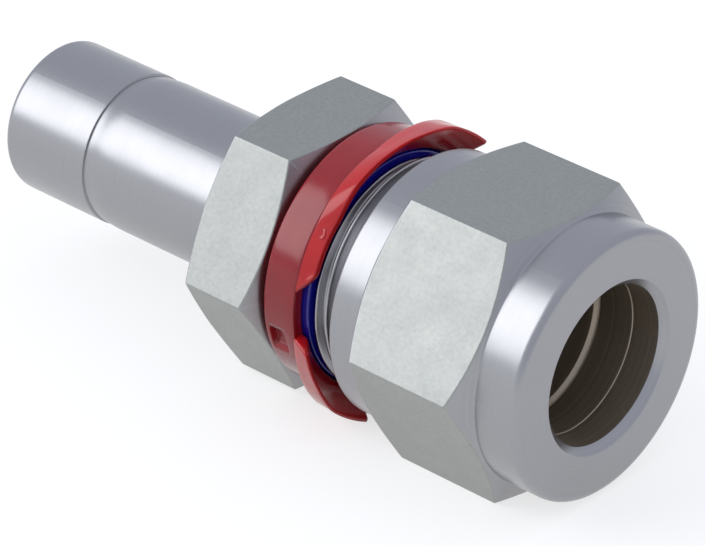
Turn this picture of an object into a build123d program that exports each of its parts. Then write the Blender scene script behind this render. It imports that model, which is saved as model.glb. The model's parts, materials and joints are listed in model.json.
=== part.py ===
"""Twin-ferrule tube reducer fitting for 1/2 in tube, hand tight, lying on a flat of its nut.

The axis runs along X, with the nut's outer face at +X and the stub's end at -X. The origin lies on
the surface that the fitting rests on, half way along it. All sizes are in millimetres.
"""
from build123d import *
from math import cos, radians, sin, sqrt, tan
import os

# Tube, and the clearances between the pieces
tube_diameter = 12.7
tube_clearance = 0.08
thread_clearance = 0.05
seat_clearance = 0.04
chamber_clearance = 0.25

# Reducer body. Its radii are built up from the tube's by walls and steps
stub_length = 24.7
stub_wall = 1.15
stub_edge = 0.4
flow_edge = 0.3
groove_to_end = 8.8
groove_depth = 0.16
groove_ramp = 1.5
mouth_flare = 1.17
mouth_angle = 12
thread_wall = 1.925
thread_length = 12.95
thread_lead = 0.8
neck_relief = 1.075
neck_length = 3.7
neck_runout_angle = 60
hex_step = 0.795
hex_width = 7.4
hex_turn = 3.6
hex_front_land = 0.5
hex_front_angle = 30
hex_back_land = 0.1
hex_back_angle = 20
tube_stop_depth = 22.9

# Coupling nut
front_collar_length = 5.09
rear_collar_length = 3.88
collar_wall = 1.225
collar_rounding = 0.7
rear_collar_edge = 0.2
nut_flat_step = 0.3125
nut_hex_angle = 30
bore_chamfer = 0.6
chamber_start = 3.0
chamber_length = 3.4
nut_thread_lead = 0.5

# Ferrules
back_length = 3.15
back_flange = 1.67
nose_entry = 0.3
front_length = 6.1
front_rim = 0.4
front_stand_off = 2.52
bevel_angle = 45
bevel_depth = 0.95
ferrule_edge = 0.15

# Red indicator ring: a band against the hexagon, and a leaf that flares towards the nut. The leaf is
# symmetrical about its middle. Its flare is how far its side stands out from the band's bore, with the
# wall added on the outer side. At the front the wall is even, and at the root the wings are solid.
ring_clearance = 0.035
band_width = 3.0
band_wall = 0.94
leaf_wall = 0.55
leaf_embed = 0.2
leaf_middle_width = 1.3
leaf_to_nut = 1.01
leaf_tilt = 7
leaf_turn = 146.4
leaf_angles = (12, 30, 48, 75, 101)
leaf_front_flare = (0.17, 0.69, 1.04, 1.74, 1.74)
leaf_back_flare = (0.34, 0.34, 0.34, 1.34, 1.74)
leaf_root_flare = (0.34, 0.34, 0.34, 0.34, 0.34)
notch_start_angle = 25.5
notch_end_angle = 41.5
pocket_start_angle = 46
pocket_end_angle = 55.5
pocket_from_front = 1.0
pocket_width = 1.6
pocket_depth = 0.6

# Blue inner ring
inner_ring_clearance = 0.03
inner_ring_edge = 0.2
inner_ring_slit = 1.2

# Radii, from the tube outwards
tube_bore = tube_diameter / 2 + tube_clearance
flow_radius = tube_diameter / 2 - stub_wall
mouth_radius = tube_bore + mouth_flare
mouth_slope = tan(radians(mouth_angle))
back_radius = tube_bore + back_flange
chamber_radius = back_radius + chamber_clearance
thread_radius = mouth_radius + thread_wall
thread_bore = thread_radius + thread_clearance
neck_radius = thread_radius - neck_relief
hex_flats = 2 * (thread_radius + hex_step)
hex_corner = hex_flats / sqrt(3)
collar_radius = thread_bore + collar_wall
nut_flats = 2 * (collar_radius + nut_flat_step)
nut_corner = nut_flats / sqrt(3)
band_bore = thread_radius + ring_clearance
band_radius = band_bore + band_wall
axis_height = nut_flats / 2

# Places along the axis, as depths behind the nut's outer face. Hand tight, the nut is stopped by the
# ferrules, and the body by the front ferrule in its mouth
back_rear = chamber_start + seat_clearance
nose_end = back_rear + back_length
front_rear = nose_end - nose_entry
front_end = front_rear + front_length
body_end = front_rear + front_stand_off
neck_front = body_end + thread_length
hex_front = neck_front + neck_length
hex_back = hex_front + hex_width
overall_length = hex_back + stub_length
band_front = hex_front - seat_clearance - band_width
middle_radius = band_bore + leaf_front_flare[0] + leaf_wall / 2
tip_radius = band_bore + leaf_front_flare[-1] + leaf_wall
leaf_slope = tan(radians(leaf_tilt))
leaf_depth = band_front - leaf_middle_width - middle_radius * leaf_slope
leaf_front = leaf_depth + tip_radius * cos(radians(leaf_angles[-1])) * leaf_slope
nut_length = leaf_front - leaf_to_nut

fitting_axis = Axis((0, 0, axis_height), (1, 0, 0))


def x_at(depth):
    """World X of a depth behind the nut's outer face."""
    return overall_length / 2 - depth


def turned(*corners, angle=90):
    """Closed half profile for turning, with its corners given as (depth, radius).

    The angle is that of the profile's plane about the axis, from +Y towards +Z.
    """
    plane = Plane(
        origin=(0, 0, axis_height),
        x_dir=(1, 0, 0),
        z_dir=(0, -sin(radians(angle)), cos(radians(angle))),
    )
    with BuildSketch(plane) as profile:
        with BuildLine():
            Polyline(*[(x_at(depth), radius) for depth, radius in corners], close=True)
        make_face()
    return profile.sketch


def hexagon(depth, flats, turn):
    """Hexagon on a plane across the axis, facing the stub's end."""
    plane = Plane(origin=(x_at(depth), 0, axis_height), x_dir=(0, 1, 0), z_dir=(-1, 0, 0))
    with BuildSketch(plane) as section:
        RegularPolygon(radius=flats / 2, side_count=6, major_radius=False, rotation=-turn)
    return section.sketch


def polar(radius, angle):
    """Point of a sketch across the axis, from a radius and an angle in degrees."""
    return (radius * cos(radians(angle)), radius * sin(radians(angle)))


# Reducer body: hexagonal bar, chamfered on both sides in the lathe, with the turned ends added
front_chamfer_circle = hex_flats / 2 - hex_front_land
back_chamfer_circle = hex_flats / 2 - hex_back_land
front_drop = (hex_corner - front_chamfer_circle) * tan(radians(hex_front_angle))
back_drop = (hex_corner - back_chamfer_circle) * tan(radians(hex_back_angle))
groove_wall = overall_length - groove_to_end
runout = neck_relief / tan(radians(neck_runout_angle))
mouth_end = body_end + mouth_flare / mouth_slope

with BuildPart() as reducer_body:
    add(hexagon(hex_front, hex_flats, hex_turn))
    extrude(amount=hex_width, dir=(-1, 0, 0))
    add(turned(
        (hex_front, 0),
        (hex_front, front_chamfer_circle),
        (hex_front + front_drop, hex_corner),
        (hex_back - back_drop, hex_corner),
        (hex_back, back_chamfer_circle),
        (hex_back, 0),
    ))
    revolve(axis=fitting_axis, mode=Mode.INTERSECT)
    add(turned(
        (body_end, 0),
        (body_end, thread_radius - thread_lead),
        (body_end + thread_lead, thread_radius),
        (neck_front - runout, thread_radius),
        (neck_front, neck_radius),
        (hex_front + front_drop, neck_radius),
        (hex_front + front_drop, 0),
    ))
    revolve(axis=fitting_axis)
    add(turned(
        (hex_back - back_drop, 0),
        (hex_back - back_drop, tube_diameter / 2),
        (groove_wall - groove_ramp, tube_diameter / 2),
        (groove_wall, tube_diameter / 2 - groove_depth),
        (groove_wall, tube_diameter / 2),
        (overall_length - stub_edge, tube_diameter / 2),
        (overall_length, tube_diameter / 2 - stub_edge),
        (overall_length, 0),
    ))
    revolve(axis=fitting_axis)
    add(turned(
        (body_end, 0),
        (body_end, mouth_radius),
        (mouth_end, tube_bore),
        (tube_stop_depth, tube_bore),
        (tube_stop_depth, flow_radius),
        (overall_length - flow_edge, flow_radius),
        (overall_length, flow_radius + flow_edge),
        (overall_length, 0),
    ))
    revolve(axis=fitting_axis, mode=Mode.SUBTRACT)

# Coupling nut: the same way, with a collar on each side of its hexagon
nut_drop = (nut_corner - collar_radius) * tan(radians(nut_hex_angle))
nut_hex_end = nut_length - rear_collar_length
thread_bore_start = chamber_start + chamber_length

# The face's rim is rounded as two bevels, which meet in the middle of the rounding's arc
rim_step = collar_rounding * (1 - cos(radians(45)))

with BuildPart() as coupling_nut:
    add(hexagon(0, nut_flats, 0))
    extrude(amount=nut_length, dir=(-1, 0, 0))
    add(turned(
        (0, 0),
        (0, collar_radius - collar_rounding),
        (rim_step, collar_radius - rim_step),
        (collar_rounding, collar_radius),
        (front_collar_length - nut_drop, collar_radius),
        (front_collar_length, nut_corner),
        (nut_hex_end, nut_corner),
        (nut_hex_end + nut_drop, collar_radius),
        (nut_length - rear_collar_edge, collar_radius),
        (nut_length, collar_radius - rear_collar_edge),
        (nut_length, 0),
    ))
    revolve(axis=fitting_axis, mode=Mode.INTERSECT)
    add(turned(
        (0, 0),
        (0, tube_bore + bore_chamfer),
        (bore_chamfer, tube_bore),
        (chamber_start, tube_bore),
        (chamber_start, chamber_radius),
        (thread_bore_start, chamber_radius),
        (thread_bore_start, thread_bore),
        (nut_length - nut_thread_lead, thread_bore),
        (nut_length, thread_bore + nut_thread_lead),
        (nut_length, 0),
    ))
    revolve(axis=fitting_axis, mode=Mode.SUBTRACT)

# Front ferrule: its taper follows the body's mouth, and its rear bevel takes the back ferrule's nose
bevel_slope = tan(radians(bevel_angle))
bevel_radius = tube_bore + bevel_depth * bevel_slope
taper_start = front_rear + front_rim


def taper_radius(depth):
    """Radius of the front ferrule's taper, a clearance inside the body's mouth."""
    return mouth_radius - seat_clearance - (depth - body_end) * mouth_slope


with BuildPart() as front_ferrule:
    add(turned(
        (front_rear, bevel_radius),
        (front_rear, taper_radius(taper_start) - ferrule_edge),
        (front_rear + ferrule_edge, taper_radius(taper_start)),
        (taper_start, taper_radius(taper_start)),
        (front_end, taper_radius(front_end)),
        (front_end, tube_bore),
        (front_rear + bevel_depth, tube_bore),
    ))
    revolve(axis=fitting_axis)

# Back ferrule: a flange that the nut pushes, and a nose that enters the front ferrule's bevel
nose_radius = bevel_radius - (nose_entry + seat_clearance) * bevel_slope
nose_root = nose_end - (back_radius - nose_radius) / bevel_slope

with BuildPart() as back_ferrule:
    add(turned(
        (back_rear, tube_bore + ferrule_edge),
        (back_rear, back_radius - ferrule_edge),
        (back_rear + ferrule_edge, back_radius),
        (nose_root, back_radius),
        (nose_end, nose_radius),
        (nose_end, tube_bore),
        (back_rear + ferrule_edge, tube_bore),
    ))
    revolve(axis=fitting_axis)

# Indicator ring. Its leaf is lofted between an outline in the band and a tilted one towards the nut
middle_y = cos(radians(leaf_turn))
middle_z = sin(radians(leaf_turn))
tilt_cos = cos(radians(leaf_tilt))
tilt_sin = sin(radians(leaf_tilt))
back_plane = Plane(
    origin=(x_at(band_front + leaf_embed), 0, axis_height),
    x_dir=(0, middle_y, middle_z),
    z_dir=(1, 0, 0),
)
front_plane = Plane(
    origin=(x_at(leaf_depth), 0, axis_height),
    x_dir=(-tilt_sin, tilt_cos * middle_y, tilt_cos * middle_z),
    z_dir=(tilt_cos, tilt_sin * middle_y, tilt_sin * middle_z),
)
leaf_limit = band_bore + max(leaf_front_flare + leaf_back_flare) + 2 * leaf_wall


def leaf_outline(plane, inner_flare, outer_flare):
    """Outline of the leaf on a plane: a curve inside, one outside, and a line at each tip."""
    inner = [band_bore + step for step in inner_flare]
    outer = [band_bore + step + leaf_wall for step in outer_flare]
    with BuildSketch(plane) as outline:
        with BuildLine():
            for radii in (inner, outer):
                left = [polar(radius, angle) for radius, angle in zip(radii, leaf_angles)]
                right = [polar(radius, -angle) for radius, angle in zip(radii, leaf_angles)]
                Spline(*reversed(right), *left)
            for tip in (leaf_angles[-1], -leaf_angles[-1]):
                Line(polar(inner[-1], tip), polar(outer[-1], tip))
        make_face()
    return outline.sketch


pocket_front = band_front + pocket_from_front
pocket_floor = band_radius - pocket_depth

with BuildPart() as indicator_ring:
    add(turned(
        (band_front, band_bore),
        (band_front, band_radius),
        (band_front + band_width, band_radius),
        (band_front + band_width, band_bore),
    ))
    revolve(axis=fitting_axis)
    add(leaf_outline(back_plane, leaf_root_flare, leaf_back_flare))
    add(leaf_outline(front_plane, leaf_front_flare, leaf_front_flare))
    loft()
    add(turned(
        (nut_length, neck_radius),
        (nut_length, leaf_limit),
        (band_front, leaf_limit),
        (band_front, neck_radius),
        angle=leaf_turn + notch_start_angle,
    ))
    revolve(
        axis=fitting_axis,
        revolution_arc=notch_end_angle - notch_start_angle,
        mode=Mode.SUBTRACT,
    )
    add(turned(
        (pocket_front, pocket_floor),
        (pocket_front, leaf_limit),
        (pocket_front + pocket_width, leaf_limit),
        (pocket_front + pocket_width, pocket_floor),
        angle=leaf_turn + pocket_start_angle,
    ))
    revolve(
        axis=fitting_axis,
        revolution_arc=pocket_end_angle - pocket_start_angle,
        mode=Mode.SUBTRACT,
    )

# Inner ring: split, so that it can be sprung over the thread into the neck
inner_ring_bore = neck_radius + inner_ring_clearance
inner_ring_radius = band_bore - 2 * inner_ring_clearance
inner_ring_front = neck_front + seat_clearance
inner_ring_back = hex_front - seat_clearance
slit_plane = Plane(
    origin=(x_at(inner_ring_front), 0, axis_height), x_dir=(0, middle_y, middle_z), z_dir=(-1, 0, 0)
)

with BuildPart() as inner_ring:
    add(turned(
        (inner_ring_front, inner_ring_bore),
        (inner_ring_front, inner_ring_radius - inner_ring_edge),
        (inner_ring_front + inner_ring_edge, inner_ring_radius),
        (inner_ring_back, inner_ring_radius),
        (inner_ring_back, inner_ring_bore),
    ))
    revolve(axis=fitting_axis)
    with BuildSketch(slit_plane):
        with Locations((-inner_ring_radius, 0)):
            Rectangle(inner_ring_radius, inner_ring_slit)
    extrude(amount=neck_length, mode=Mode.SUBTRACT)

os.makedirs("parts", exist_ok=True)

reducer_body.part.label = "reducer_body"
export_step(reducer_body.part, "parts/reducer_body.step")
coupling_nut.part.label = "coupling_nut"
export_step(coupling_nut.part, "parts/coupling_nut.step")
front_ferrule.part.label = "front_ferrule"
export_step(front_ferrule.part, "parts/front_ferrule.step")
back_ferrule.part.label = "back_ferrule"
export_step(back_ferrule.part, "parts/back_ferrule.step")
indicator_ring.part.label = "indicator_ring"
export_step(indicator_ring.part, "parts/indicator_ring.step")
inner_ring.part.label = "inner_ring"
export_step(inner_ring.part, "parts/inner_ring.step")
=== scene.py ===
"""Looks of a twin-ferrule tube reducer fitting: turned stainless steel with red and blue plastic rings.

Every metal piece is a profile carried round the fitting's axis. A depth is measured from the nut's
outer face towards the stub, a radius from the axis, and an angle from +Y towards +Z about +X.
"""

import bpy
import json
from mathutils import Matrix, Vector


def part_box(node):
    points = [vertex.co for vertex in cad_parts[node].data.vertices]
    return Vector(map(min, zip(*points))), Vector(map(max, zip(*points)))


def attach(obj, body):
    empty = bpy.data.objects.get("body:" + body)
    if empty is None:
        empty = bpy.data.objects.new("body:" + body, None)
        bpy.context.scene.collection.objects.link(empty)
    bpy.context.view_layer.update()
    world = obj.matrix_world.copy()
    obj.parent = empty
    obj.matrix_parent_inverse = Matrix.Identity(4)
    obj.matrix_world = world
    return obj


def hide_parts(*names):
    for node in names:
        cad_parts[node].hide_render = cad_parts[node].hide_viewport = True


bl_info = {
    "name": "Tube Reducer Fitting",
    "version": (1, 0, 0),
    "blender": (4, 5, 0),
    "location": "View3D > Sidebar > Fitting",
    "description": "Builds the surfaces, finishes and studio of a twin-ferrule tube reducer fitting",
    "category": "Object",
}

import json

import bpy
import numpy as np
from mathutils import Matrix, Vector

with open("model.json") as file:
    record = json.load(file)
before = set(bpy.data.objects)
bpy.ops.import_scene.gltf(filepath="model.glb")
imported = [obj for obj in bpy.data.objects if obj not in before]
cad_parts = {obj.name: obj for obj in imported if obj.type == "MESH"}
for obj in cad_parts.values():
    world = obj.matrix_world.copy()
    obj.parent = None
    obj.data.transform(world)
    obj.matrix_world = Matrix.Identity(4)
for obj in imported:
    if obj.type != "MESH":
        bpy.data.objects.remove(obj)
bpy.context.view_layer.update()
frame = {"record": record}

MM = 0.001
NUT_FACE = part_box("coupling_nut")[1][0]
STUB_END = NUT_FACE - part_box("reducer_body")[0][0]
AXIS_HEIGHT = frame["record"]["mounts"][0]["pos_m"][2]
TUBE_BORE = next(m for m in frame["record"]["mounts"] if m["name"] == "tube_socket")["dims"]["r_mm"] * MM
FLOW_BORE = next(m for m in frame["record"]["mounts"] if m["name"] == "flow_bore")["dims"]["r_mm"] * MM


def length(name, millimetres, description):
    """A size that a user may change, given here in millimetres."""
    return bpy.props.FloatProperty(
        name=name, description=description, default=millimetres * MM, min=0.0, unit="LENGTH", precision=5
    )


def angle(name, degrees, description):
    """An angle that a user may change, given here in degrees."""
    return bpy.props.FloatProperty(
        name=name, description=description, default=np.radians(degrees), subtype="ANGLE", unit="ROTATION"
    )


def linear(hex_colour):
    """Linear red, green, blue and alpha of an sRGB hex colour."""
    srgb = np.array([int(hex_colour[i:i + 2], 16) for i in (1, 3, 5)]) / 255
    rgb = np.where(srgb <= 0.04045, srgb / 12.92, ((srgb + 0.055) / 1.055) ** 2.4)
    return (*rgb.tolist(), 1.0)


def colour(name, hex_colour, description):
    """A colour that a user may change, given here as sRGB hex."""
    return bpy.props.FloatVectorProperty(
        name=name, description=description, default=linear(hex_colour), size=4, subtype="COLOR", min=0, max=1
    )


class ThreadSizes(bpy.types.PropertyGroup):
    """The thread that joins the body and the nut."""
    pitch: length("Pitch", 1.27, "Travel of the nut in one turn")
    crest: length("Crest radius", 9.525, "Outer radius of the body's thread")
    height: length("Height", 0.775, "Radial height of the thread, from root to crest")
    clearance: length("Clearance", 0.07, "Radial room between the nut's thread and the body's")


class BodySizes(bpy.types.PropertyGroup):
    """The one-piece body: ferrule mouth, thread, neck, hexagon and tube stub."""
    start: length("Thread start", 8.41, "Depth of the body's end inside the nut")
    lead: length("Thread lead", 0.8, "Chamfer on the first thread")
    neck_start: length("Neck start", 21.36, "Depth at which the thread has run out into the neck")
    neck: length("Neck radius", 8.45, "Radius of the relief between the thread and the hexagon")
    mouth: length("Mouth radius", 7.6, "Radius of the cone that the front ferrule wedges into")
    mouth_end: length("Mouth end", 13.914, "Depth at which the mouth has narrowed to the tube's size")
    stop: length("Tube stop", 22.9, "Depth of the shoulder that the tube stands on")
    hex_start: length("Hexagon start", 25.06, "Depth of the hexagon's face towards the nut")
    hex_end: length("Hexagon end", 32.46, "Depth of the hexagon's face towards the stub")
    flats: length("Across flats", 20.64, "Hexagon's width across its flats")
    front_land: length("Front land", 1.25, "How far inside the flats the front chamfer starts")
    back_land: length("Back land", 0.1, "How far inside the flats the back chamfer starts")
    front_slope: angle("Front chamfer", 23, "Angle of the hexagon's front chamfer")
    back_slope: angle("Back chamfer", 20, "Angle of the hexagon's back chamfer")
    turn: angle("Turn", 3.6, "How far the hexagon is turned from the nut's")
    stub: length("Stub radius", 6.35, "Outer radius of the tube stub")
    groove: length("Groove", 48.36, "Depth of the steep wall of the setting groove")
    groove_ramp: length("Groove ramp", 1.5, "Length over which the groove gets deeper")
    groove_depth: length("Groove depth", 0.16, "How deep the groove is at its wall")
    stub_edge: length("Stub edge", 0.4, "Chamfer at the stub's end")


class NutSizes(bpy.types.PropertyGroup):
    """The coupling nut: a hexagon between two collars."""
    end: length("Length", 18.2, "Depth of the nut's inner end")
    flats: length("Across flats", 22.225, "Hexagon's width across its flats")
    hex_start: length("Hexagon start", 5.09, "Depth at which the front chamfer meets the corners")
    hex_end: length("Hexagon end", 14.32, "Depth at which the back chamfer meets the corners")
    slope: angle("Chamfer", 30, "Angle of the hexagon's chamfers")
    collar: length("Collar radius", 10.8, "Outer radius of both collars")
    rim: length("Rim rounding", 0.7, "Reach of the rounding of the front collar's rim")
    chamfer: length("Bore chamfer", 0.6, "Chamfer at the mouth of the tube bore")
    chamber_start: length("Chamber start", 3.0, "Depth of the shoulder that pushes the ferrules")
    chamber: length("Chamber radius", 8.35, "Radius of the ferrule chamber")
    thread_start: length("Thread start", 6.4, "Depth at which the threaded bore starts")
    lead: length("Thread lead", 0.5, "Chamfer at the inner end of the thread")


class FerruleSizes(bpy.types.PropertyGroup):
    """The two ferrules in the nut's chamber."""
    back_start: length("Back ferrule start", 3.04, "Depth of the back ferrule's rear face")
    back_end: length("Back ferrule end", 6.19, "Depth of the back ferrule's nose")
    back_radius: length("Back ferrule radius", 8.1, "Outer radius of the back ferrule")
    nose: length("Nose radius", 7.04, "Radius of the back ferrule's nose")
    front_start: length("Front ferrule start", 5.89, "Depth of the front ferrule's rear face")
    front_end: length("Front ferrule end", 11.99, "Depth of the front ferrule's thin end")
    front_radius: length("Front ferrule radius", 8.01, "Largest radius of the front ferrule")
    front_tip: length("Front ferrule tip radius", 6.8, "Radius of the front ferrule's thin end")
    bevel: length("Bevel", 0.95, "Bevel in the front ferrule that takes the nose")


class RingSizes(bpy.types.PropertyGroup):
    """The red indicator ring, a band with a flared leaf, and the blue ring that it sits on."""
    start: length("Band start", 22.02, "Depth of the band's edge towards the nut")
    end: length("Band end", 25.02, "Depth of the band's edge against the hexagon")
    radius: length("Band radius", 10.5, "Outer radius of the band")
    bore: length("Band bore", 9.56, "Inner radius of the band")
    wall: length("Leaf wall", 0.58, "Thickness of the leaf")
    embed: length("Leaf root", 0.2, "How far the leaf starts inside the band")
    middle: angle("Leaf middle", 146.4, "Angle of the leaf's middle about the axis")
    tip: angle("Leaf tip", 101, "Angle from the leaf's middle to each tip")
    tilt: angle("Leaf tilt", 7, "Tilt of the leaf's front edge")
    reach: length("Leaf reach", 19.535, "Depth of the leaf's front edge, level with the axis")
    notch_start: angle("Notch start", 25.5, "Angle at which the notch through the leaf starts")
    notch_end: angle("Notch end", 46, "Angle at which it ends")
    notch_slant: angle("Notch slant", 10, "How much earlier the notch starts at the front edge")
    gate_depth: length("Gate depth", 21.4, "Depth of the moulding gate's scar")
    gate_radius: length("Gate radius", 10.27, "Radius at which it lies on the leaf")
    gate_angle: angle("Gate angle", -3.5, "Its angle from the leaf's middle")
    inner_start: length("Inner ring start", 21.4, "Depth of the blue ring's edge towards the nut")
    inner_radius: length("Inner ring radius", 9.5, "Outer radius of the blue ring")
    slit: length("Slit", 1.2, "Width of the blue ring's slit")


class FinishColours(bpy.types.PropertyGroup):
    """The colours of the metals and the plastics."""
    turned: colour("Turned steel", "#9E9EA1", "Stainless steel as the lathe leaves it")
    flats: colour("Blasted steel", "#9FA19E", "Stainless steel of the hexagons' flats")
    bored: colour("Bored steel", "#B8AC9C", "Stainless steel inside, warm with cutting oil")
    # The band and the leaf are one red nylon: the band's red is painted darker as shade, the leaf's red is
    # painted brighter as light shining through it
    red: colour("Red nylon", "#900C18", "The indicator ring's band, where the steel behind it darkens it")
    leaf_red_painted_light: colour("Thin red nylon", "#BE1418", "The indicator ring's leaf, which light gets through")
    blue: colour("Blue nylon", "#15158C", "The inner ring")
    floor: colour("Floor", "#A6A6A6", "The matt part of the studio's floor")


def around(depths, radii, angles):
    """Points of the fitting from depths, radii and angles, each an array or a number."""
    depths, radii, angles = np.broadcast_arrays(depths, radii, angles)
    return np.stack(
        [NUT_FACE - depths, radii * np.cos(angles), AXIS_HEIGHT + radii * np.sin(angles)], axis=-1
    )


def hexagon_outline(flats, rounding, turn, along=22, corner=6):
    """Angles and radii of a hexagon's outline with rounded corners.

    A side runs at half the flats from the axis. Each corner is an arc of the rounding, centred where
    the two sides less the rounding meet. Both are worked out beside one side and turned by sixths.
    """
    inner = flats / 2 - rounding
    half = inner * np.tan(np.pi / 6)
    spread = np.linspace(0, np.pi / 3, corner)[1:-1]
    out = np.concatenate([np.full(along, flats / 2), inner + rounding * np.cos(spread)])
    side = np.concatenate([np.linspace(-half, half, along), half + rounding * np.sin(spread)])
    sixths = (np.arange(6) * np.pi / 3 + np.pi / 6)[:, None]
    angles = (turn + sixths + np.arctan2(side, out)).ravel()
    return angles, np.tile(np.hypot(out, side), 6)


def softened(corners, steps=4, closed=True):
    """Rows of a profile with rounded corners, for every column at once.

    Each corner is (depth, radius, rounding), where a radius may be an array with a value for each
    column. A corner becomes the quadratic curve from the point one rounding before it to the point
    one rounding after it, at most 0.45 of the shorter side. The end corners of an open one stay.
    """
    columns = max(np.size(value) for corner in corners for value in corner[:2])
    points = np.array([[np.broadcast_to(v, columns) for v in corner[:2]] for corner in corners])
    points = points.transpose(0, 2, 1)
    rounding = np.array([corner[2] for corner in corners])[:, None, None]
    before = np.roll(points, 1, axis=0) - points
    after = np.roll(points, -1, axis=0) - points
    before_length = np.linalg.norm(before, axis=-1, keepdims=True) + 1e-12
    after_length = np.linalg.norm(after, axis=-1, keepdims=True) + 1e-12
    reach = np.minimum(rounding, 0.45 * np.minimum(before_length, after_length))
    start = points + before / before_length * reach
    end = points + after / after_length * reach
    along = np.linspace(0, 1, steps)[:, None, None, None]
    curves = (1 - along) ** 2 * start + 2 * along * (1 - along) * points + along ** 2 * end
    rows = curves.transpose(1, 0, 2, 3)
    if closed:
        return rows.reshape(-1, columns, 2)
    return np.concatenate([points[:1], rows[1:-1].reshape(-1, columns, 2), points[-1:]])


def band_finishes(corner_finishes, steps=4, closed=True):
    """Finish of each row of softened corners: that of the side that follows the corner."""
    rows = np.repeat(corner_finishes, steps)
    return rows if closed else np.concatenate([corner_finishes[:1], rows[steps:-steps], corner_finishes[-1:]])


def surface(name, shells, materials):
    """A mesh object from shells, each a grid of points with rows and columns.

    A shell is (points, finishes, closed_columns). Its rows always close on themselves, as a profile
    does. Its columns close too where it goes all the way round, and end in a flat cap where not.
    """
    vertices = []
    faces = []
    indices = []
    first = 0
    for points, finishes, closed in shells:
        rows, columns = points.shape[:2]
        number = np.arange(rows * columns).reshape(rows, columns) + first
        below = np.roll(number, -1, axis=0)
        if closed:
            beside, corner = np.roll(number, -1, axis=1), np.roll(below, -1, axis=1)
        else:
            beside, corner = number[:, 1:], below[:, 1:]
            number, below = number[:, :-1], below[:, :-1]
        quads = np.stack([number, below, corner, beside], axis=-1).reshape(-1, 4)
        faces += quads.tolist()
        indices += np.repeat(finishes, number.shape[1]).tolist()
        if not closed:
            faces += [number[:, 0][::-1].tolist(), beside[:, -1].tolist()]
            indices += [int(finishes[0])] * 2
        vertices.append(points.reshape(-1, 3))
        first += rows * columns
    mesh = bpy.data.meshes.new(name)
    mesh.from_pydata(np.concatenate(vertices).tolist(), [], faces)
    mesh.polygons.foreach_set("material_index", indices)
    mesh.polygons.foreach_set("use_smooth", [True] * len(faces))
    for material in materials:
        mesh.materials.append(material)
    mesh.validate()
    piece = bpy.data.objects.new(name, mesh)
    bpy.context.scene.collection.objects.link(piece)
    weighting = piece.modifiers.new("face_weighted_shading", "WEIGHTED_NORMAL")
    weighting.keep_sharp = True
    return piece


def stands_for(piece, node, body):
    """Puts a piece in place of its CAD node, on its body."""
    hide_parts(node)
    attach(piece, body)


def thread_radius(thread, depths, angles):
    """Radius of an endless sharp thread: a zigzag along the depth that goes one pitch each turn.

    It falls from the crest by the cotangent of 30 degrees times the distance from the nearest crest's
    middle, less half of the crest's flat, which is an eighth of the pitch.
    """
    phase = depths / thread.pitch + angles / (2 * np.pi)
    from_crest = np.abs(phase - np.round(phase)) * thread.pitch
    return thread.crest - (from_crest - thread.pitch / 16) / np.tan(np.pi / 6)


def add_node(tree, kind, inputs=(), **settings):
    """A node with its settings, and its inputs given by name or number as values or sockets."""
    node = tree.nodes.new(kind)
    for name, value in settings.items():
        setattr(node, name, value)
    for key, value in dict(inputs).items():
        if isinstance(value, bpy.types.NodeSocket):
            tree.links.new(value, node.inputs[key])
        else:
            node.inputs[key].default_value = value
    return node


def new_material(name):
    """An empty node material, its tree, its output and object coordinates."""
    material = bpy.data.materials.new(name)
    material.use_nodes = True
    tree = material.node_tree
    tree.nodes.clear()
    output = add_node(tree, "ShaderNodeOutputMaterial")
    place = add_node(tree, "ShaderNodeTexCoord")
    return material, tree, output, place


def lathe_lines(tree, place, spacing):
    """Height of turning marks: noise along the axis on round sides, and along the radius on faces."""
    centred = add_node(
        tree, "ShaderNodeVectorMath", {0: place.outputs["Object"], 1: (0, 0, AXIS_HEIGHT)},
        operation="SUBTRACT",
    )
    parts = add_node(tree, "ShaderNodeSeparateXYZ", {0: centred.outputs[0]})
    crosswise = add_node(
        tree, "ShaderNodeVectorMath", {0: centred.outputs[0], 1: (0, 1, 1)}, operation="MULTIPLY"
    )
    radius = add_node(tree, "ShaderNodeVectorMath", {0: crosswise.outputs[0]}, operation="LENGTH")
    facing = add_node(tree, "ShaderNodeSeparateXYZ", {0: place.outputs["Normal"]})
    endwise = add_node(tree, "ShaderNodeMath", {0: facing.outputs[0]}, operation="ABSOLUTE")
    travel = add_node(
        tree, "ShaderNodeMix", {0: endwise.outputs[0], 2: parts.outputs[0], 3: radius.outputs["Value"]}
    )
    return add_node(
        tree, "ShaderNodeTexNoise", {"W": travel.outputs[0], "Scale": 1 / (2 * spacing), "Detail": 3.0},
        noise_dimensions="1D",
    )


def turned_stainless(colours):
    """316 stainless steel, turned and left as it is: fine rings that stretch each highlight."""
    material, tree, output, place = new_material("stainless_turned")
    lines = lathe_lines(tree, place, 0.09 * MM)
    blotches = add_node(
        tree, "ShaderNodeTexNoise", {"Vector": place.outputs["Object"], "Scale": 1 / (3 * MM), "Detail": 4.0}
    )
    roughness = add_node(tree, "ShaderNodeMapRange", {0: blotches.outputs[0], 3: 0.24, 4: 0.36})
    tint = add_node(
        tree, "ShaderNodeMapRange", {0: lines.outputs[0], 1: 0.3, 2: 0.7, 3: 0.975, 4: 1.02}
    )
    shade = add_node(
        tree, "ShaderNodeVectorMath", {0: colours.turned[:3], 1: tint.outputs[0]}, operation="MULTIPLY"
    )
    bump = add_node(
        tree, "ShaderNodeBump", {"Strength": 0.1, "Distance": 0.01 * MM, "Height": lines.outputs[0]}
    )
    shader = add_node(tree, "ShaderNodeBsdfPrincipled", {
        "Base Color": shade.outputs[0], "Metallic": 1.0, "Roughness": roughness.outputs[0],
        "Normal": bump.outputs[0],
    })
    tree.links.new(shader.outputs[0], output.inputs[0])
    return material


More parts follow.
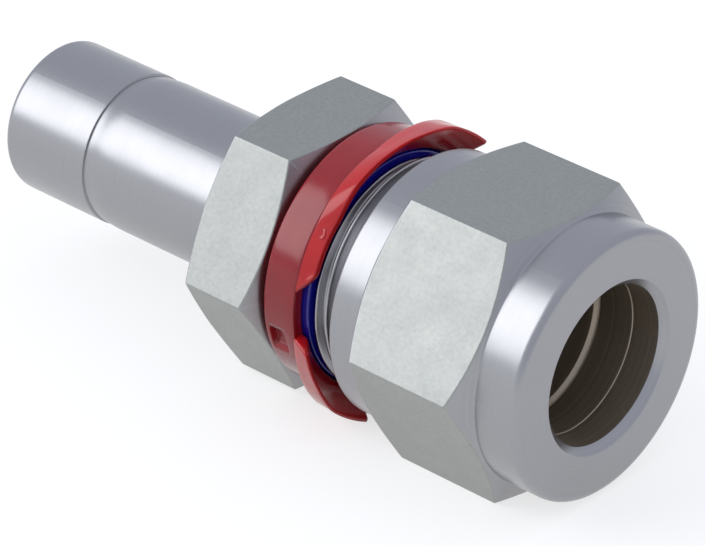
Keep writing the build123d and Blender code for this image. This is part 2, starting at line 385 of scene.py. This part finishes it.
def blasted_stainless(colours):
    """316 stainless bar with a blasted skin: a matt sparkle of grains about 0.15 mm wide."""
    material, tree, output, place = new_material("stainless_blasted")
    grains = add_node(
        tree, "ShaderNodeTexNoise",
        {"Vector": place.outputs["Object"], "Scale": 1 / (0.3 * MM), "Detail": 2.0, "Roughness": 0.6},
    )
    blotches = add_node(
        tree, "ShaderNodeTexNoise", {"Vector": place.outputs["Object"], "Scale": 1 / (2 * MM), "Detail": 4.0}
    )
    tint = add_node(tree, "ShaderNodeMapRange", {0: grains.outputs[0], 1: 0.3, 2: 0.7, 3: 0.93, 4: 1.05})
    shade = add_node(
        tree, "ShaderNodeVectorMath", {0: colours.flats[:3], 1: tint.outputs[0]}, operation="MULTIPLY"
    )
    roughness = add_node(tree, "ShaderNodeMapRange", {0: blotches.outputs[0], 3: 0.38, 4: 0.5})
    bump = add_node(
        tree, "ShaderNodeBump", {"Strength": 0.22, "Distance": 0.03 * MM, "Height": grains.outputs[0]}
    )
    shader = add_node(tree, "ShaderNodeBsdfPrincipled", {
        "Base Color": shade.outputs[0], "Metallic": 1.0, "Roughness": roughness.outputs[0],
        "Normal": bump.outputs[0],
    })
    tree.links.new(shader.outputs[0], output.inputs[0])
    return material


def bored_stainless(colours):
    """The same steel inside a bore, reamed, with a film of cutting oil that makes it warm and dark."""
    material, tree, output, place = new_material("stainless_bored")
    lines = lathe_lines(tree, place, 0.12 * MM)
    tint = add_node(tree, "ShaderNodeMapRange", {0: lines.outputs[0], 1: 0.3, 2: 0.7, 3: 0.85, 4: 1.1})
    shade = add_node(
        tree, "ShaderNodeVectorMath", {0: colours.bored[:3], 1: tint.outputs[0]}, operation="MULTIPLY"
    )
    bump = add_node(
        tree, "ShaderNodeBump", {"Strength": 0.2, "Distance": 0.01 * MM, "Height": lines.outputs[0]}
    )
    shader = add_node(tree, "ShaderNodeBsdfPrincipled", {
        "Base Color": shade.outputs[0], "Metallic": 1.0, "Roughness": 0.5, "Normal": bump.outputs[0],
    })
    tree.links.new(shader.outputs[0], output.inputs[0])
    return material


def moulded_nylon(name, base, spread):
    """Injection-moulded nylon: a clear gloss, a little wavy, over a colour that light sinks into."""
    material, tree, output, place = new_material(name)
    ripple = add_node(
        tree, "ShaderNodeTexNoise", {"Vector": place.outputs["Object"], "Scale": 1 / (4 * MM), "Detail": 1.0}
    )
    tint = add_node(tree, "ShaderNodeMapRange", {0: ripple.outputs[0], 1: 0.3, 2: 0.7, 3: 0.9, 4: 1.08})
    shade = add_node(tree, "ShaderNodeVectorMath", {0: base[:3], 1: tint.outputs[0]}, operation="MULTIPLY")
    roughness = add_node(tree, "ShaderNodeMapRange", {0: ripple.outputs[0], 3: 0.12, 4: 0.22})
    bump = add_node(
        tree, "ShaderNodeBump", {"Strength": 0.2, "Distance": 0.1 * MM, "Height": ripple.outputs[0]}
    )
    shader = add_node(tree, "ShaderNodeBsdfPrincipled", {
        "Base Color": shade.outputs[0], "Roughness": roughness.outputs[0], "IOR": 1.53,
        "Subsurface Weight": 0.15, "Subsurface Radius": spread, "Subsurface Scale": 1.0,
        "Normal": bump.outputs[0],
    })
    tree.links.new(shader.outputs[0], output.inputs[0])
    return material


def metals(colours):
    """The three steel finishes, in the order that the pieces number them."""
    names = ("stainless_turned", "stainless_blasted", "stainless_bored")
    makers = (turned_stainless, blasted_stainless, bored_stainless)
    return [bpy.data.materials.get(name) or maker(colours) for name, maker in zip(names, makers)]


TURNED, BLASTED, BORED = range(3)
EDGE = 0.1 * MM
FINE_EDGE = 0.05 * MM
HEXAGON_CORNER = 0.12 * MM
ROWS_PER_PITCH = 20


def threaded_surface(name, angles, thread_rows, thread_finish, corners, steps, colours):
    """A closed surface of steel: a thread's rows, then softened corners that lead back to its start.

    The thread's rows are (depths, radii). The corners are (depth, radius, rounding, finish), and the
    first and last of them, which repeat the thread's last and first rows, are left out again.
    """
    threaded = np.stack(np.broadcast_arrays(*thread_rows), axis=-1)
    rows = softened([corner[:3] for corner in corners], steps, closed=False)
    finishes = band_finishes([corner[3] for corner in corners], steps, closed=False)
    profile = np.concatenate([threaded, rows[1:-1]])
    finish = np.concatenate([np.full(len(threaded), thread_finish), finishes[1:-1]])
    points = around(profile[..., 0], profile[..., 1], angles)
    return surface(name, [(points, finish, True)], metals(colours))


class FITTING_OT_body(bpy.types.Operator):
    """Build the one-piece reducer body"""
    bl_idname = "fitting.body"
    bl_label = "Reducer Body"

    def execute(self, context):
        size, thread = context.scene.fitting_body, context.scene.fitting_thread
        runout_slope = np.tan(np.radians(60))
        flow_edge = 0.3 * MM
        angles, hexagon = hexagon_outline(size.flats, HEXAGON_CORNER, size.turn)
        front_circle = size.flats / 2 - size.front_land
        back_circle = size.flats / 2 - size.back_land
        front_meet = size.hex_start + (hexagon - front_circle) * np.tan(size.front_slope)
        back_meet = size.hex_end - (hexagon - back_circle) * np.tan(size.back_slope)

        turns = (size.neck_start - size.start) / thread.pitch
        depths = np.linspace(size.start, size.neck_start, int(turns * ROWS_PER_PITCH))[:, None]
        lead = thread.crest - size.lead + depths - size.start
        runout = size.neck + (size.neck_start - depths) * runout_slope
        root = thread.crest - thread.height
        crests = np.clip(thread_radius(thread, depths, angles[None, :]), root, thread.crest)
        crests = np.minimum(np.minimum(crests, lead), runout)

        corners = [
            (size.neck_start, crests[-1], 0, TURNED),
            (size.hex_start, size.neck, EDGE, TURNED),
            (size.hex_start, front_circle, EDGE, TURNED),
            (front_meet, hexagon, EDGE, BLASTED),
            (back_meet, hexagon, EDGE, TURNED),
            (size.hex_end, back_circle, EDGE, TURNED),
            (size.hex_end, size.stub, 0.25 * MM, TURNED),
            (size.groove - size.groove_ramp, size.stub, 0.6 * MM, TURNED),
            (size.groove, size.stub - size.groove_depth, 0.03 * MM, TURNED),
            (size.groove + 0.04 * MM, size.stub, FINE_EDGE, TURNED),
            (STUB_END - size.stub_edge, size.stub, 0.3 * MM, TURNED),
            (STUB_END, size.stub - size.stub_edge, 0.15 * MM, TURNED),
            (STUB_END, FLOW_BORE + flow_edge, EDGE, TURNED),
            (STUB_END - flow_edge, FLOW_BORE, EDGE, BORED),
            (size.stop, FLOW_BORE, FINE_EDGE, BORED),
            (size.stop, TUBE_BORE, FINE_EDGE, BORED),
            (size.mouth_end, TUBE_BORE, FINE_EDGE, BORED),
            (size.start, size.mouth, EDGE, TURNED),
            (size.start, crests[0], 0, TURNED),
        ]
        piece = threaded_surface(
            "reducer_body_turned", angles, (depths, crests), TURNED, corners, 4, context.scene.fitting_colours
        )
        stands_for(piece, "reducer_body", "reducer")
        return {"FINISHED"}


class FITTING_OT_nut(bpy.types.Operator):
    """Build the coupling nut"""
    bl_idname = "fitting.nut"
    bl_label = "Coupling Nut"

    def execute(self, context):
        size, thread = context.scene.fitting_nut, context.scene.fitting_thread
        relief_length = 0.6 * MM
        angles, hexagon = hexagon_outline(size.flats, HEXAGON_CORNER, 0)
        drop = (hexagon - size.collar) * np.tan(size.slope)
        corner_drop = (size.flats / np.sqrt(3) - size.collar) * np.tan(size.slope)
        cone_start = size.hex_start - corner_drop
        cone_end = size.hex_end + corner_drop

        major = thread.crest + thread.clearance
        minor = thread.crest - thread.height + thread.clearance
        turns = (size.end - size.thread_start) / thread.pitch
        depths = np.linspace(size.end, size.thread_start, int(turns * ROWS_PER_PITCH))[:, None]
        ridges = np.clip(thread_radius(thread, depths, angles[None, :]) + thread.clearance * 2, minor, major)
        lead = major + size.lead - (size.end - depths)
        relief = major - (depths - size.thread_start - relief_length)
        ridges = np.maximum(ridges, np.maximum(lead, np.minimum(relief, major)))

        corners = [
            (size.thread_start, ridges[-1], 0, BORED),
            (size.thread_start, size.chamber, EDGE, BORED),
            (size.chamber_start, size.chamber, EDGE, BORED),
            (size.chamber_start, TUBE_BORE, FINE_EDGE, BORED),
            (size.chamfer, TUBE_BORE, FINE_EDGE, TURNED),
            (0, TUBE_BORE + size.chamfer, FINE_EDGE, TURNED),
            (0, size.collar, size.rim, TURNED),
            (cone_start, size.collar, EDGE, TURNED),
            (cone_start + drop, hexagon, EDGE, BLASTED),
            (cone_end - drop, hexagon, EDGE, TURNED),
            (cone_end, size.collar, EDGE, TURNED),
            (size.end, size.collar, 0.3 * MM, TURNED),
            (size.end, ridges[0], 0, BORED),
        ]
        piece = threaded_surface(
            "coupling_nut_turned", angles, (depths, ridges), BORED, corners, 6, context.scene.fitting_colours
        )
        stands_for(piece, "coupling_nut", "nut")
        return {"FINISHED"}


class FITTING_OT_ferrules(bpy.types.Operator):
    """Build the front and back ferrules"""
    bl_idname = "fitting.ferrules"
    bl_label = "Ferrules"

    def execute(self, context):
        size = context.scene.fitting_ferrules
        angles = np.linspace(0, 2 * np.pi, 160, endpoint=False)
        rim = 0.4 * MM
        shapes = {
            "front_ferrule": [
                (size.front_start, TUBE_BORE + size.bevel, FINE_EDGE),
                (size.front_start, size.front_radius, EDGE),
                (size.front_start + rim, size.front_radius, EDGE),
                (size.front_end, size.front_tip, FINE_EDGE),
                (size.front_end, TUBE_BORE, FINE_EDGE),
                (size.front_start + size.bevel, TUBE_BORE, FINE_EDGE),
            ],
            "back_ferrule": [
                (size.back_start, TUBE_BORE, 0.15 * MM),
                (size.back_start, size.back_radius, 0.15 * MM),
                (size.back_end - size.back_radius + size.nose, size.back_radius, EDGE),
                (size.back_end, size.nose, FINE_EDGE),
                (size.back_end, TUBE_BORE, FINE_EDGE),
            ],
        }
        for node, corners in shapes.items():
            rows = softened(corners)
            finish = np.full(len(rows), BORED)
            points = around(rows[..., 0], rows[..., 1], angles)
            piece = surface(node + "_turned", [(points, finish, True)], metals(context.scene.fitting_colours))
            stands_for(piece, node, "ferrules")
        return {"FINISHED"}


# How far the leaf stands out from the band, in millimetres, at angles in degrees from its middle
FRONT_FLARE = ((0, -0.35), (12, -0.35), (28, 0.25), (48, 0.6), (67, 1.0), (80, 1.45), (101, 1.35))
BACK_FLARE = ((0, -0.02), (48, -0.02), (58, 0.3), (67.5, 0.66), (76.5, 1.0), (85.5, 1.28), (101, 1.4))

# Shares of the leaf's depth, from its front edge, at the crease outside and at the hollow's end inside
CREASE_SHARE = 0.55
HOLLOW_SHARE = 0.6

# The wings start at this angle in degrees and are full after as much again, with a thinner edge
WING_START = 30
WING_THINNING = 0.6


def leaf_shell(size, start, end, front_start, front_end):
    """Part of the leaf, from a start to an end angle at its root and from others at its front edge.

    Its outer radius at the root and at the front edge follows the named flares, joined by smooth steps
    between their angles. The front edge lies on a plane tilted across the axis, so its depth is the
    reach plus the tangent of the tilt times the height along the leaf's middle. The inner side runs
    from the wall at the front edge to the band's bore, which makes the wings solid at their root.
    """
    columns = int(abs(end - start) / np.radians(0.75)) + 2
    turned = np.linspace(front_start, front_end, columns)
    rooted = np.linspace(start, end, columns)
    front = size.radius + flare(np.degrees(turned), FRONT_FLARE) * MM
    back = size.radius + flare(np.degrees(rooted), BACK_FLARE) * MM
    root = size.start + size.embed
    edge = size.reach + front * np.cos(turned) * np.tan(size.tilt)
    wing = np.clip((np.degrees(np.abs(turned)) - WING_START) / WING_START, 0, 1)
    wall = size.wall * (1 - WING_THINNING * wing)
    bore = size.bore + 0.05 * MM
    front_edge, crease, end_rounding = 0.12 * MM, 0.3 * MM, 0.2 * MM
    rows = softened([
        (edge, front - wall, front_edge),
        (edge, front, front_edge),
        (edge + (root - edge) * CREASE_SHARE, front + (back - front) * CREASE_SHARE, crease),
        (np.full(columns, root), back, EDGE),
        (np.full(columns, root), bore, FINE_EDGE),
        (edge + (root - edge) * HOLLOW_SHARE, bore, crease),
    ], steps=5)
    middle = rows.mean(axis=0)
    ends = np.minimum(turned - front_start, front_end - turned) * size.radius / end_rounding
    shrink = np.sqrt(1 - (1 - np.clip(ends, 0.3, 1)) ** 2)[None, :, None]
    rows = middle + (rows - middle) * shrink
    share = np.clip((rows[..., 0] - edge) / (root - edge), 0, 1)
    angles = size.middle + turned + (rooted - turned) * share
    points = around(rows[..., 0], rows[..., 1], angles)
    return points, np.ones(len(rows), int), False


def gate_mark(size):
    """The scar that the moulding gate leaves on the leaf: a low disc with a hollow in its middle.

    It lies on the leaf's outer side, so its points are placed by how far along the axis and how far
    around it they are from its own middle. Each ring is its reach from there and its rise, in mm.
    """
    rings = ((0.02, -0.02), (0.12, 0.0), (0.24, 0.03), (0.34, 0.02), (0.42, -0.1), (0.2, -0.2), (0.02, -0.2))
    reach, rise = np.array(rings)[:, :, None].transpose(1, 0, 2) * MM
    clock = np.linspace(0, 2 * np.pi, 28, endpoint=False)
    stretch = 1 + 0.12 * np.sin(3 * clock + 0.6)
    depths = size.gate_depth + reach * stretch * np.cos(clock)
    radii = size.gate_radius + rise + 0 * clock
    angles = size.middle + size.gate_angle + 1.3 * reach * stretch * np.sin(clock) / size.gate_radius
    return around(depths, radii, angles), np.ones(len(rings), int), True


def flare(spread, knots):
    """How far the leaf stands out, in millimetres, at angles in degrees.

    The knots are joined by straight lines in tenths of a degree, and each place then takes the mean of
    the 3 degrees on each side of it, weighted towards itself.
    """
    fine = np.linspace(-10, 120, 1301)
    reach = 30
    angles, steps = np.array(knots).T
    window = np.hanning(2 * reach + 1)
    level = np.interp(np.abs(fine), angles, steps)
    smooth = np.convolve(np.pad(level, reach, "edge"), window / window.sum(), "valid")
    return np.interp(np.abs(spread), fine, smooth)


class FITTING_OT_rings(bpy.types.Operator):
    """Build the red indicator ring and the blue inner ring"""
    bl_idname = "fitting.rings"
    bl_label = "Plastic Rings"

    def execute(self, context):
        size, colours = context.scene.fitting_rings, context.scene.fitting_colours
        turned = np.radians(np.arange(0, 360, 1.5))
        spread = np.degrees(turned)
        # The pocket in the band beside the notch: its ends and their ramp in degrees, its depth in mm
        pocket_start, pocket_end, pocket_ramp, pocket_depth = 45, 56.5, 1.5, 0.6
        inside = np.minimum(spread - pocket_start, pocket_end - spread) / pocket_ramp
        floor = size.radius - np.clip(inside, 0, 1) * pocket_depth * MM
        edge = 0.12 * MM
        rows = softened([
            (size.start, size.bore, FINE_EDGE),
            (size.start, size.radius, edge),
            (size.start + 1.0 * MM, size.radius, FINE_EDGE),
            (size.start + 1.1 * MM, floor, FINE_EDGE),
            (size.start + 2.5 * MM, floor, FINE_EDGE),
            (size.start + 2.6 * MM, size.radius, FINE_EDGE),
            (size.end, size.radius, edge),
            (size.end, size.bore, FINE_EDGE),
        ])
        band = (around(rows[..., 0], rows[..., 1], size.middle + turned), np.zeros(len(rows), int), True)
        shells = [
            band,
            leaf_shell(size, -size.tip, size.notch_start, -size.tip, size.notch_start - size.notch_slant),
            leaf_shell(size, size.notch_end, size.tip, size.notch_end + size.notch_slant / 4, size.tip),
            gate_mark(size),
        ]
        scatter = (1.2 * MM, 0.15 * MM, 0.1 * MM)
        # Two copies of one red nylon: the band's with painted shade, the leaf's with painted light shining
        # through it
        nylons = [
            moulded_nylon("nylon_red_band_painted_shade", colours.red, scatter),
            moulded_nylon("nylon_red_leaf_painted_light", colours.leaf_red_painted_light, scatter),
        ]
        piece = surface("indicator_ring_moulded", shells, nylons)
        stands_for(piece, "indicator_ring", "reducer")

        half_slit = size.slit / 2 / size.inner_radius
        turned = np.linspace(np.pi + half_slit, 3 * np.pi - half_slit, 200)
        inner_bore = context.scene.fitting_body.neck + 0.03 * MM
        rows = softened([
            (np.full(len(turned), size.inner_start), inner_bore, FINE_EDGE),
            (size.inner_start, size.inner_radius, 0.2 * MM),
            (size.end, size.inner_radius, FINE_EDGE),
            (size.end, inner_bore, FINE_EDGE),
        ])
        points = around(rows[..., 0], rows[..., 1], size.middle + turned)
        nylon = moulded_nylon("nylon_blue_moulded", colours.blue, (0.1 * MM, 0.15 * MM, 1.0 * MM))
        piece = surface("inner_ring_moulded", [(points, np.zeros(len(rows), int), False)], [nylon])
        stands_for(piece, "inner_ring", "reducer")
        return {"FINISHED"}


# The studio, in metres. A radiance or strength of 1 is the white of the picture
FLOOR_HALF = 3.0
FLOOR_GLOW = 0.68
WORLD_STRENGTH = 0.9
KEY_DISTANCE = 0.8
KEY_DIRECTION = (-0.572, -0.637, 0.516)
KEY_WIDTH = 0.5
KEY_HEIGHT = 0.66
KEY_RADIANCE = 2.5

# The photograph's viewing angle: its width and the lens's focal length in pixels, the camera's axes,
# and the camera's place in millimetres from the middle of the nut's face
IMAGE_WIDTH = 705
FOCAL_LENGTH = 4574.87
SENSOR_WIDTH = 36.0
CAMERA_RIGHT = (0.74313, 0.66863, 0.02623)
CAMERA_UP = (-0.34765, 0.3523, 0.86892)
CAMERA_PLACE = (175.688, -230.309, 171.732)


def softbox(name, place, aim, width, height, radiance):
    """A rectangular area lamp at a place, facing a point, as bright as its radiance on all its face."""
    lamp = bpy.data.lights.new(name, "AREA")
    lamp.shape = "RECTANGLE"
    lamp.size = width
    lamp.size_y = height
    lamp.energy = radiance * np.pi * width * height
    holder = bpy.data.objects.new(name, lamp)
    holder.location = place
    holder.rotation_euler = (Vector(aim) - Vector(place)).to_track_quat("-Z", "Y").to_euler()
    bpy.context.scene.collection.objects.link(holder)


def studio_floor(colours):
    """A white seamless floor: its own glow makes the background, its matt part takes the shadow."""
    material, tree, output, place = new_material("floor_paper")
    fibres = add_node(
        tree, "ShaderNodeTexNoise", {"Vector": place.outputs["Object"], "Scale": 40.0, "Detail": 3.0}
    )
    tint = add_node(tree, "ShaderNodeMapRange", {0: fibres.outputs[0], 3: 0.99, 4: 1.01})
    shade = add_node(
        tree, "ShaderNodeVectorMath", {0: colours.floor[:3], 1: tint.outputs[0]}, operation="MULTIPLY"
    )
    paper = add_node(tree, "ShaderNodeBsdfDiffuse", {"Color": shade.outputs[0]})
    ray = add_node(tree, "ShaderNodeLightPath")
    seen = add_node(
        tree, "ShaderNodeMath", {0: ray.outputs["Is Camera Ray"], 1: ray.outputs["Is Glossy Ray"]},
        operation="ADD",
    )
    seen = add_node(
        tree, "ShaderNodeMath", {0: seen.outputs[0], 1: ray.outputs["Is Transmission Ray"]}, operation="ADD"
    )
    strength = add_node(tree, "ShaderNodeMath", {0: seen.outputs[0], 1: FLOOR_GLOW}, operation="MULTIPLY")
    glow = add_node(tree, "ShaderNodeEmission", {"Strength": strength.outputs[0]})
    both = add_node(tree, "ShaderNodeAddShader", {0: paper.outputs[0], 1: glow.outputs[0]})
    tree.links.new(both.outputs[0], output.inputs[0])
    return material


class FITTING_OT_stage(bpy.types.Operator):
    """Set up the floor, the lamps, the world and the camera"""
    bl_idname = "fitting.stage"
    bl_label = "Studio"

    def execute(self, context):
        scene = context.scene
        scene.view_settings.view_transform = "Standard"
        mesh = bpy.data.meshes.new("floor")
        half = FLOOR_HALF
        corners = [(-half, -half, 0), (half, -half, 0), (half, half, 0), (-half, half, 0)]
        mesh.from_pydata(corners, [], [(0, 1, 2, 3)])
        mesh.materials.append(studio_floor(scene.fitting_colours))
        floor = bpy.data.objects.new("floor", mesh)
        scene.collection.objects.link(floor)

        world = bpy.data.worlds.new("studio")
        scene.world = world
        world.use_nodes = True
        background = world.node_tree.nodes["Background"]
        background.inputs["Color"].default_value = linear("#E9EEFA")
        background.inputs["Strength"].default_value = WORLD_STRENGTH

        centre = Vector((0.0, 0.0, AXIS_HEIGHT))
        key = centre + KEY_DISTANCE * Vector(KEY_DIRECTION)
        softbox("key_softbox", key, centre, KEY_WIDTH, KEY_HEIGHT, KEY_RADIANCE)

        camera = bpy.data.cameras.new("camera")
        camera.sensor_width = SENSOR_WIDTH
        camera.lens = FOCAL_LENGTH / IMAGE_WIDTH * SENSOR_WIDTH
        camera.clip_start = 0.01
        holder = bpy.data.objects.new("camera", camera)
        right = Vector(CAMERA_RIGHT)
        up = Vector(CAMERA_UP)
        back = right.cross(up)
        place = Vector((NUT_FACE, 0, AXIS_HEIGHT)) + Vector(CAMERA_PLACE) * MM
        holder.matrix_world = Matrix.Translation(place) @ Matrix((right, up, back)).transposed().to_4x4()
        scene.collection.objects.link(holder)
        scene.camera = holder
        return {"FINISHED"}


OPERATORS = (FITTING_OT_stage, FITTING_OT_body, FITTING_OT_nut, FITTING_OT_ferrules, FITTING_OT_rings)
GROUPS = {
    "fitting_thread": ThreadSizes,
    "fitting_body": BodySizes,
    "fitting_nut": NutSizes,
    "fitting_ferrules": FerruleSizes,
    "fitting_rings": RingSizes,
    "fitting_colours": FinishColours,
}


class FITTING_PT_panel(bpy.types.Panel):
    """Buttons and sizes of the tube reducer fitting"""
    bl_idname = "FITTING_PT_panel"
    bl_label = "Tube Reducer Fitting"
    bl_space_type = "VIEW_3D"
    bl_region_type = "UI"
    bl_category = "Fitting"

    def draw(self, context):
        for operator in OPERATORS:
            self.layout.operator(operator.bl_idname)
        for name in GROUPS:
            group = getattr(context.scene, name)
            box = self.layout.box()
            for key in group.bl_rna.properties.keys():
                if key not in ("rna_type", "name"):
                    box.prop(group, key)


def register():
    for group in GROUPS.values():
        bpy.utils.register_class(group)
    for name, group in GROUPS.items():
        setattr(bpy.types.Scene, name, bpy.props.PointerProperty(type=group))
    for operator in OPERATORS:
        bpy.utils.register_class(operator)
    bpy.utils.register_class(FITTING_PT_panel)


def unregister():
    bpy.utils.unregister_class(FITTING_PT_panel)
    for operator in reversed(OPERATORS):
        bpy.utils.unregister_class(operator)
    for name in GROUPS:
        delattr(bpy.types.Scene, name)
    for group in GROUPS.values():
        bpy.utils.unregister_class(group)


def main():
    register()
    bpy.ops.fitting.stage()
    bpy.ops.fitting.body()
    bpy.ops.fitting.nut()
    bpy.ops.fitting.ferrules()
    bpy.ops.fitting.rings()


if __name__ == "__main__":
    main()
